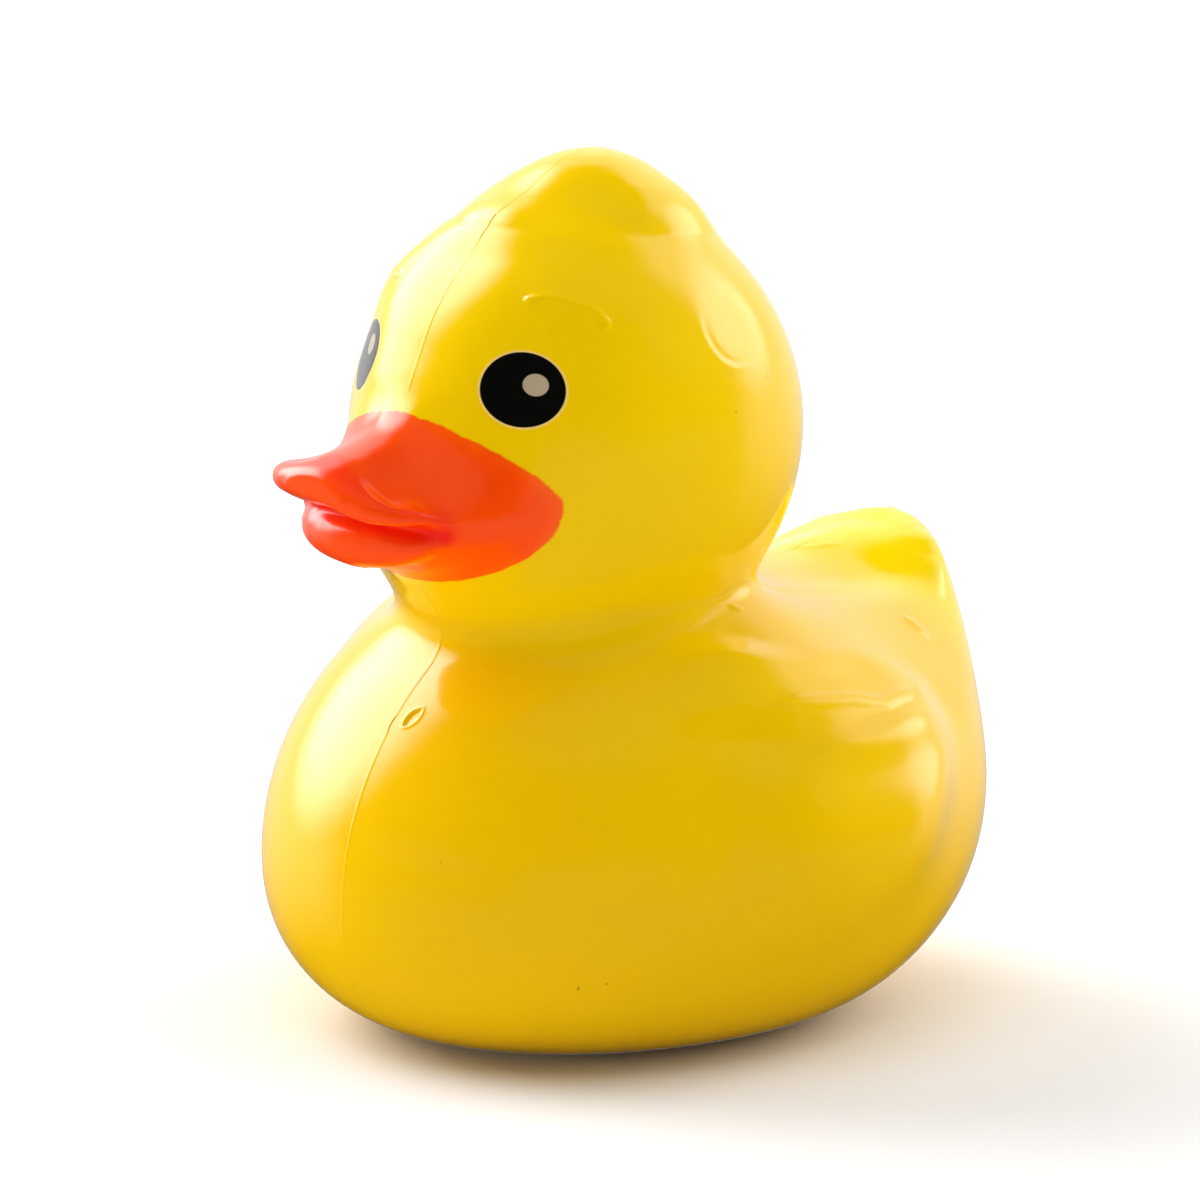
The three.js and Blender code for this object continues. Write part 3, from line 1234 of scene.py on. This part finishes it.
    def soften(self, net: SkinNet, spots: np.ndarray) -> None:
        """Rounds the facets off, keeps the crisp creases and blends the soft ones.

        Args:
            net: The even net.
            spots: Points along the solid's sharp edges.
        """
        share = np.full(len(net.points), self.share)
        share[REGIONS.bills(net.points)] *= self.beak_share
        share *= 1.0 - (1.0 - self.tuft_share) * rise(HEAD.angles(net.points)[1], *self.tuft_climb)
        extra: list[tuple[np.ndarray, int]] = []
        for rule in CREASES:
            own = spots[rule.holds(spots)]
            if not len(own):
                continue
            away = distance_to(net.points, own)
            share *= 1.0 - rule.kept * bell(away, rule.spread)
            if rule.rounds:
                extra.append((self.share * bell(away, rule.spread), rule.rounds))
        net.relax(share, self.plain_rounds)
        for soft, rounds in extra:
            net.relax(soft, rounds)

    def shaped(self) -> SkinNet:
        """Makes the skin's shape.

        Returns:
            The finished net, which stays inside the solid's box.
        """
        welded = self.plain_solid()
        spots = self.sharp_spots(welded)
        mesh = self.remeshed(welded)
        net = SkinNet(mesh)
        self.soften(net, spots)
        net.write()
        shell = bmesh.new()
        shell.from_mesh(mesh)
        self.parting.cut(shell)
        shell.to_mesh(mesh)
        shell.free()
        for mark in (*self.marks, self.lips):
            mark.refine(mesh)
        net = SkinNet(mesh)
        for mark in (*self.marks, self.lips, self.parting):
            mark.sculpt(net)
        low, high = (np.array(corner) / MM for corner in CAD_BOX)
        net.points = np.clip(net.points, low, high)
        net.write()
        return net

    def build(self, finish: "DuckFinish") -> bpy.types.Object:
        """Makes the skin and dresses it.

        Args:
            finish: The vinyl with its paint and print.

        Returns:
            The finished piece.
        """
        net = self.shaped()
        mesh = net.mesh
        mesh.name = self.name
        # A point value for the beak's hollow and mouth, drawn deeper red for thick paint and as painted shade
        pool_and_shade = mesh.attributes.new(finish.pool_and_shade_name, "FLOAT", "POINT")
        pool_and_shade.data.foreach_set("value", self.lips.pooled_and_shaded(net).astype(np.float32))
        piece = bpy.data.objects.new(self.name, mesh)
        bpy.context.scene.collection.objects.link(piece)
        mesh.materials.clear()
        mesh.materials.append(finish.build(net))
        mesh.polygons.foreach_set("use_smooth", np.ones(len(mesh.polygons), bool))
        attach(piece, self.body)
        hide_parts(self.node)
        return piece


@dataclass(frozen=True)
class EyePrint:
    """One printed eye: a black egg with a pale rim and a pale spot."""

    place: Pair
    facing: Pair
    half_width: float = 3.8
    half_height: float = 3.27
    tilt: float = -7.0
    spot_shift: Pair = (1.05, 0.62)
    spot_half_width: float = 1.15
    spot_half_height: float = 0.97
    rim: float = 0.16
    edge: float = 0.06
    behind: float = -6.0


@dataclass(frozen=True)
class BeakPaint:
    """The sprayed paint on the beak: how far it reaches over the face, its ragged edge and its colours.

    Each noise is given by its swells to a millimetre and its detail.
    """

    middle_climb: float = -8.5
    half_turn: float = 42.5
    upper: float = 19.4
    lower: float = 19.6
    upper_power: float = 1.5
    lower_power: float = 2.15
    ragged: Pair = (0.55, 3.0)
    ragged_share: float = 0.08
    fine: Pair = (2.2, 2.0)
    fine_share: float = 0.02
    edge: Pair = (1.035, 0.985)
    inside: Pair = (0.55, 1.0)
    colour: Triple = (1.0, 0.07, 0.0006)
    thin: Triple = (0.98, 0.125, 0.0008)
    thin_noise: Pair = (0.3, 3.0)
    thin_least: float = 0.35
    thin_span: Pair = (0.45, 1.15)
    # A deeper red, drawn at random and, as thick paint and painted shade, in the hollow and mouth
    deep: Triple = (0.86, 0.005, 0.0004)
    deep_noise: Pair = (0.16, 2.0)
    deep_span: Pair = (0.45, 0.75)
    deep_share: float = 0.2
    rough: float = 0.09


@dataclass(frozen=True)
class Scuff:
    """A small dark speck or short dash on the skin."""

    place: Triple
    along: Triple = UP
    length: float = 0.22
    width: float = 0.16
    strength: float = 0.6
    fade: Pair = (1.25, 0.55)

    def mask(self, graph: ShaderGraph, where: Shade) -> Shade:
        """Tells where the mark is.

        Args:
            graph: The material's graph.
            where: The place on the skin, in millimetres.

        Returns:
            A value from nought to the mark's strength.
        """
        rel = graph.vector("SUBTRACT", where, self.place)
        run = graph.dot(rel, tuple(unit(self.along)))
        reach = graph.vector("LENGTH", rel, output="Value")
        across = (reach * reach - run * run).most(0.0)
        spread = (across / self.width ** 2 + run * run / self.length ** 2).step(MathStep.SQRT)
        return spread.ramp(*self.fade) * self.strength


@dataclass(frozen=True)
class DuckFinish:
    """Glossy soft vinyl in yellow, with the sprayed beak, the printed eyes and small marks.

    The vinyl carries painted shade, darker and warmer low down, and painted light, lighter and more lemon at
    the tail. Each noise is given by its swells to a millimetre and its detail.
    """

    name: str = "soft_vinyl"
    pool_and_shade_name: str = "paint_pool_and_groove_shade"
    yellow: Triple = (0.87, 0.565, 0.0004)
    # Painted shade: a darker, warmer yellow drawn towards the bottom
    low_shade_colour: Triple = (0.87, 0.505, 0.0003)
    low_shade_span: Pair = (62.0, 14.0)
    cloud: Pair = (0.045, 2.0)
    cloud_span: Pair = (0.35, 0.7)
    cloud_share: float = 0.25
    # Painted light: a lighter, lemon yellow drawn at the tail
    lit_tail_colour: Triple = (0.88, 0.65, 0.0006)
    lit_tail_along: Triple = (0.0, 0.83, 0.55)
    lit_tail_span: Pair = (36.0, 45.0)
    black: Triple = (0.0022, 0.0024, 0.0018)
    spot: Triple = (0.42, 0.33, 0.22)
    pale: Triple = (0.85, 0.62, 0.30)
    pale_strength: float = 0.55
    speck: Triple = (0.20, 0.10, 0.004)
    roughness: float = 0.11
    smudge: Pair = (0.12, 3.0)
    smudge_share: float = 0.08
    grain: Pair = (0.9, 2.0)
    fine_grain: Pair = (3.5, 2.0)
    fine_grain_share: float = 0.35
    grain_strength: float = 0.06
    grain_depth: float = 0.1
    ior: float = 1.48
    left_eye: EyePrint = EyePrint(place=(31.7, 19.9), facing=(27.0, 14.0))
    right_eye: EyePrint = EyePrint(place=(-31.7, 20.6), facing=(-27.0, 14.0), tilt=7.0, spot_shift=(0.8, 1.0))
    paint: BeakPaint = BeakPaint()
    scuffs: tuple[Scuff, ...] = (
        Scuff(place=(10.0, -32.0, 20.3), length=0.3, strength=0.75),
        Scuff(place=(22.0, -23.4, 9.9), length=0.26, strength=0.7),
        Scuff(place=(20.2, -25.1, 9.5), length=0.3, strength=0.5),
        Scuff(place=(12.4, 25.7, 37.6), length=0.2, strength=0.6),
        Scuff(place=(31.9, -6.0, 22.0), length=0.18, strength=0.3),
        Scuff(place=(17.4, 22.4, 33.1), length=0.25, width=0.14, strength=0.4),
        Scuff(place=(13.7, -1.1, 68.6), along=(0.56, 0.58, 0.6), length=0.5, width=0.1, strength=0.5),
        Scuff(place=(19.0, -4.7, 57.7), along=(0.5, 0.5, -0.7), length=0.5, width=0.1, strength=0.45),
        Scuff(place=(17.6, 0.5, 60.1), along=(0.3, 0.3, -0.9), length=0.6, width=0.1, strength=0.3),
        Scuff(place=(-22.5, -22.0, 15.0), length=0.2, strength=0.5),
        Scuff(place=(-14.0, 27.5, 24.0), length=0.22, strength=0.5),
    )

    def eye_masks(
        self, graph: ShaderGraph, where: Shade, net: SkinNet, eye: EyePrint
    ) -> tuple[Shade, Shade, Shade]:
        """Tells where one eye's black, rim and spot are.

        Args:
            graph: The material's graph.
            where: The place on the skin, in millimetres.
            net: The skin, which carries the eye.
            eye: The eye.

        Returns:
            The masks of the black egg, of the egg with its rim, and of the spot.
        """
        middle = net.nearest(*eye.place)
        outward = Vector(HEAD.direction(*eye.facing))
        level = Vector(UP).cross(outward).normalized()
        upright = outward.cross(level)
        turn = math.radians(eye.tilt)
        along = math.cos(turn) * level + math.sin(turn) * upright
        across = math.cos(turn) * upright - math.sin(turn) * level
        rel = graph.vector("SUBTRACT", where, tuple(middle))
        u, v = graph.dot(rel, tuple(along)), graph.dot(rel, tuple(across))
        front = graph.dot(rel, tuple(outward)).step(MathStep.GREATER_THAN, eye.behind)
        reach = ((u / eye.half_width) ** 2 + (v / eye.half_height) ** 2).step(MathStep.SQRT)
        edge = eye.edge / eye.half_width
        black = reach.ramp(1.0 + edge, 1.0 - edge) * front
        rim = 1.0 + eye.rim / eye.half_width
        ring = reach.ramp(rim + 2.0 * edge, rim - edge) * front
        su = (u - eye.spot_shift[0]) / eye.spot_half_width
        sv = (v - eye.spot_shift[1]) / eye.spot_half_height
        spot_reach = (su * su + sv * sv).step(MathStep.SQRT)
        spot_edge = eye.edge / eye.spot_half_width
        return black, ring, spot_reach.ramp(1.0 + spot_edge, 1.0 - spot_edge) * front

    def paint_mask(self, graph: ShaderGraph, where: Shade) -> tuple[Shade, Shade]:
        """Tells where the beak's paint is, and how near its edge.

        Args:
            graph: The material's graph.
            where: The place on the skin, in millimetres.

        Returns:
            The paint's mask, and a value that is one at its edge and falls inward.
        """
        paint = self.paint
        rel = graph.vector("SUBTRACT", where, HEAD.middle)
        parts = graph.node("ShaderNodeSeparateXYZ", {}, {0: rel})
        x, y, z = (Shade(graph, parts.outputs[k]) for k in range(3))
        turn = graph.math(MathStep.ARCTAN2, x, -y) * math.degrees(1.0)
        flat = (x * x + y * y).step(MathStep.SQRT)
        climb = graph.math(MathStep.ARCTAN2, z, flat) * math.degrees(1.0) - paint.middle_climb
        aside = abs(turn) / paint.half_turn
        up = climb.most(0.0) / paint.upper
        down = (-climb).most(0.0) / paint.lower
        upper = aside ** paint.upper_power + up ** paint.upper_power
        lower = aside ** paint.lower_power + down ** paint.lower_power
        is_up = climb.step(MathStep.GREATER_THAN, 0.0)
        reach = is_up * upper + (1.0 - is_up) * lower
        ragged = graph.noise(where, *paint.ragged) - 0.5
        fine = graph.noise(where, *paint.fine) - 0.5
        reach = reach + ragged * paint.ragged_share + fine * paint.fine_share
        ahead = (-y).step(MathStep.GREATER_THAN, 0.0)
        return reach.ramp(*paint.edge) * ahead, reach.ramp(*paint.inside)

    def vinyl(self, graph: ShaderGraph, where: Shade) -> Shade:
        """Mixes the vinyl's colour, with painted shade that darkens and warms it towards the bottom and
        painted light that makes the tail lighter and more lemon.

        Args:
            graph: The material's graph.
            where: The place on the skin, in millimetres.

        Returns:
            The colour.
        """
        cloud = graph.noise(where, *self.cloud)
        # Painted shade: the yellow darkens and warms towards the bottom, mixed with random cloudy tone
        low = graph.dot(where, UP).ramp(*self.low_shade_span)
        low_shade_and_cloud = (1.0 - self.cloud_share) * low + self.cloud_share * cloud.ramp(*self.cloud_span)
        colour = graph.blend(low_shade_and_cloud, (*self.yellow, 1.0), (*self.low_shade_colour, 1.0))
        # Painted light: the tail is drawn lighter and more lemon
        lit_tail = graph.dot(where, self.lit_tail_along).ramp(*self.lit_tail_span)
        return graph.blend(lit_tail, colour, (*self.lit_tail_colour, 1.0))

    def sprayed(self, graph: ShaderGraph, where: Shade, edge: Shade) -> Shade:
        """Mixes the beak paint's colour: thinner at its edge, deeper at random, and deeper red in the hollow
        and mouth for thick paint and as painted shade.

        Args:
            graph: The material's graph.
            where: The place on the skin, in millimetres.
            edge: One at the paint's edge, falling inward.

        Returns:
            The colour.
        """
        paint = self.paint
        thin = (edge * (paint.thin_least + graph.noise(where, *paint.thin_noise))).ramp(*paint.thin_span)
        pool_and_shade = graph.shade("ShaderNodeAttribute", {"attribute_name": self.pool_and_shade_name}, output="Fac")
        deep = graph.noise(where, *paint.deep_noise).ramp(*paint.deep_span) * paint.deep_share
        colour = graph.blend(thin, (*paint.colour, 1.0), (*paint.thin, 1.0))
        # The deeper red in the hollow and mouth is thick paint and painted shade together
        return graph.blend(deep.most(pool_and_shade), colour, (*paint.deep, 1.0))

    def build(self, net: SkinNet) -> bpy.types.Material:
        """Makes the material.

        Args:
            net: The finished skin, for the places of its prints.

        Returns:
            The material.
        """
        material = bpy.data.materials.new(self.name)
        material.use_nodes = True
        graph = ShaderGraph(material.node_tree)
        place = graph.shade("ShaderNodeTexCoord", output="Object")
        where = graph.vector("MULTIPLY", place, (1.0 / MM,) * 3)
        mask, edge = self.paint_mask(graph, where)
        colour = graph.blend(mask, self.vinyl(graph, where), self.sprayed(graph, where, edge))
        for scuff in self.scuffs:
            colour = graph.blend(scuff.mask(graph, where), colour, (*self.speck, 1.0))
        for eye in (self.left_eye, self.right_eye):
            black, ring, spot = self.eye_masks(graph, where, net, eye)
            colour = graph.blend(ring * self.pale_strength, colour, (*self.pale, 1.0))
            colour = graph.blend(black, colour, (*self.black, 1.0))
            colour = graph.blend(spot, colour, (*self.spot, 1.0))
        smudge = graph.noise(where, *self.smudge)
        rough = self.roughness + (smudge - 0.5) * self.smudge_share + mask * self.paint.rough
        grain = graph.noise(where, *self.grain) + self.fine_grain_share * graph.noise(where, *self.fine_grain)
        bump = graph.shade(
            "ShaderNodeBump",
            {},
            {"Strength": self.grain_strength, "Distance": self.grain_depth * MM, "Height": grain},
        )
        shader = graph.node(
            "ShaderNodeBsdfPrincipled",
            {},
            {"Base Color": colour, "Roughness": rough, "Normal": bump, "IOR": self.ior},
        )
        graph.node("ShaderNodeOutputMaterial", {}, {"Surface": shader.outputs[0]})
        return material


@dataclass(frozen=True)
class Panel:
    """One soft light panel, placed by where it stands round the duck: sizes in metres and power in watts."""

    name: str
    turn: float
    climb: float
    power: float
    width: float = 1.3
    height: float = 1.3
    distance: float = 1.2

    def build(self, aim: Vector) -> bpy.types.Object:
        """Hangs the panel and turns it to the duck.

        Args:
            aim: The place that it faces.

        Returns:
            The panel.
        """
        lamp = bpy.data.lights.new(self.name, "AREA")
        lamp.shape = "ELLIPSE"
        lamp.size, lamp.size_y = self.width, self.height
        lamp.energy = self.power
        panel = bpy.data.objects.new(self.name, lamp)
        bpy.context.scene.collection.objects.link(panel)
        away = Vector(HEAD.direction(self.turn, self.climb))
        panel.location = aim + away * self.distance
        panel.rotation_euler = (-away).to_track_quat("-Z", "Y").to_euler()
        panel.visible_glossy = False
        return panel


@dataclass(frozen=True)
class Glow:
    """A soft bright part of the surround, which fades from its inner angle to its outer one."""

    turn: float
    climb: float
    level: float
    inner: float
    outer: float

    def shade(self, graph: ShaderGraph, toward: Shade) -> Shade:
        """Tells how much the glow adds.

        Args:
            graph: The surround's graph.
            toward: The direction that is looked in.

        Returns:
            The added level.
        """
        facing = graph.dot(toward, tuple(HEAD.direction(self.turn, self.climb)))
        edges = [math.cos(math.radians(angle)) for angle in (self.outer, self.inner)]
        return self.level * facing.ramp(*edges)


@dataclass
class Studio:
    """A pale floor, a white surround with two glows, soft panels round the duck, and the camera.

    The surround's edges are given as how far a direction reaches towards the camera's side or upward.
    """

    aim: Triple = (-0.189, -2.795, 37.5)
    camera_turn: float = 46.0
    camera_climb: float = 12.5
    camera_distance: float = 600.0
    camera_clip: Pair = (0.01, 20.0)
    scale: float = 11.05
    picture: float = 1200.0
    sensor: float = 36.0
    floor_size: float = 6.0
    floor_colour: Triple = (0.86, 0.86, 0.86)
    surround_front: float = 0.02
    surround_level: float = 1.0
    surround_high: float = 1.3
    surround_rise: Pair = (0.1, 0.4)
    surround_edge: Pair = (0.0, -0.32)
    surround_low: Pair = (-0.5, 0.0)
    surround_top: Pair = (0.87, 0.73)
    least_level: float = 0.001
    glows: tuple[Glow, ...] = (
        Glow(turn=-79.0, climb=30.0, level=6.0, inner=9.0, outer=34.0),
        Glow(turn=163.0, climb=21.0, level=2.6, inner=4.0, outer=23.0),
    )
    panels: tuple[Panel, ...] = (
        Panel("front_fill", turn=46.0, climb=6.0, power=1.7, height=0.26),
        Panel("left_fill", turn=-14.0, climb=10.0, power=2.4, width=1.2, height=0.22),
        Panel("right_fill", turn=136.0, climb=35.0, power=6.4),
        Panel("top_fill", turn=46.0, climb=76.0, power=6.3),
    )

    def floor(self) -> bpy.types.Object:
        """Lays a plain pale floor under the duck.

        Returns:
            The floor.
        """
        half = 0.5 * self.floor_size
        corners = [(-half, -half, 0), (half, -half, 0), (half, half, 0), (-half, half, 0)]
        mesh = bpy.data.meshes.new("floor")
        mesh.from_pydata(corners, [], [(0, 1, 2, 3)])
        material = bpy.data.materials.new("pale_floor")
        material.use_nodes = True
        graph = ShaderGraph(material.node_tree)
        shader = graph.node("ShaderNodeBsdfDiffuse", {}, {"Color": (*self.floor_colour, 1.0)})
        graph.node("ShaderNodeOutputMaterial", {}, {"Surface": shader.outputs[0]})
        mesh.materials.append(material)
        floor = bpy.data.objects.new("floor", mesh)
        bpy.context.scene.collection.objects.link(floor)
        floor.visible_glossy = False
        return floor

    def world(self) -> None:
        """Sets a plain white surround that is dimmer on the camera's side."""
        world = bpy.data.worlds.new("surround")
        world.use_nodes = True
        graph = ShaderGraph(world.node_tree)
        toward = graph.shade("ShaderNodeTexCoord", output="Generated")
        front = graph.dot(toward, tuple(HEAD.direction(self.camera_turn, 0.0)))
        upward = graph.dot(toward, UP)
        level_front = front / ((1.0 - upward * upward).most(self.least_level) ** 0.5)
        behind = level_front.ramp(*self.surround_edge) * upward.ramp(*self.surround_low)
        behind = behind * upward.ramp(*self.surround_top)
        added = (self.surround_high - self.surround_level) * upward.ramp(*self.surround_rise)
        level = self.surround_front + (self.surround_level + added - self.surround_front) * behind
        for glow in self.glows:
            level = level + glow.shade(graph, toward)
        light = graph.node("ShaderNodeBackground", {}, {"Color": (1.0, 1.0, 1.0, 1.0), "Strength": level})
        graph.node("ShaderNodeOutputWorld", {}, {"Surface": light.outputs[0]})
        bpy.context.scene.world = world

    def camera(self) -> bpy.types.Object:
        """Stands the camera where the picture was taken from.

        Returns:
            The camera.
        """
        data = bpy.data.cameras.new("camera")
        data.sensor_width = self.sensor
        data.lens = self.scale * self.camera_distance / self.picture * self.sensor
        data.clip_start, data.clip_end = self.camera_clip
        camera = bpy.data.objects.new("camera", data)
        bpy.context.scene.collection.objects.link(camera)
        away = Vector(HEAD.direction(self.camera_turn, self.camera_climb))
        camera.location = Vector(self.aim) * MM + away * self.camera_distance * MM
        camera.rotation_euler = (-away).to_track_quat("-Z", "Y").to_euler()
        bpy.context.scene.camera = camera
        return camera

    def build(self) -> None:
        """Sets up the whole studio."""
        bpy.context.scene.view_settings.view_transform = "Standard"
        self.floor()
        self.world()
        for panel in self.panels:
            panel.build(Vector(self.aim) * MM)
        self.camera()


def main() -> None:
    """Builds the duck and its studio, and reports each piece."""
    logging.basicConfig(level=logging.INFO, format="%(name)s: %(message)s")
    Studio().build()
    log.info("studio is set")
    skin = MouldedSkin().build(DuckFinish())
    triangles = sum(len(face.vertices) - 2 for face in skin.data.polygons)
    log.info("%s: %d triangles", skin.name, triangles)


if __name__ == "__main__":
    main()
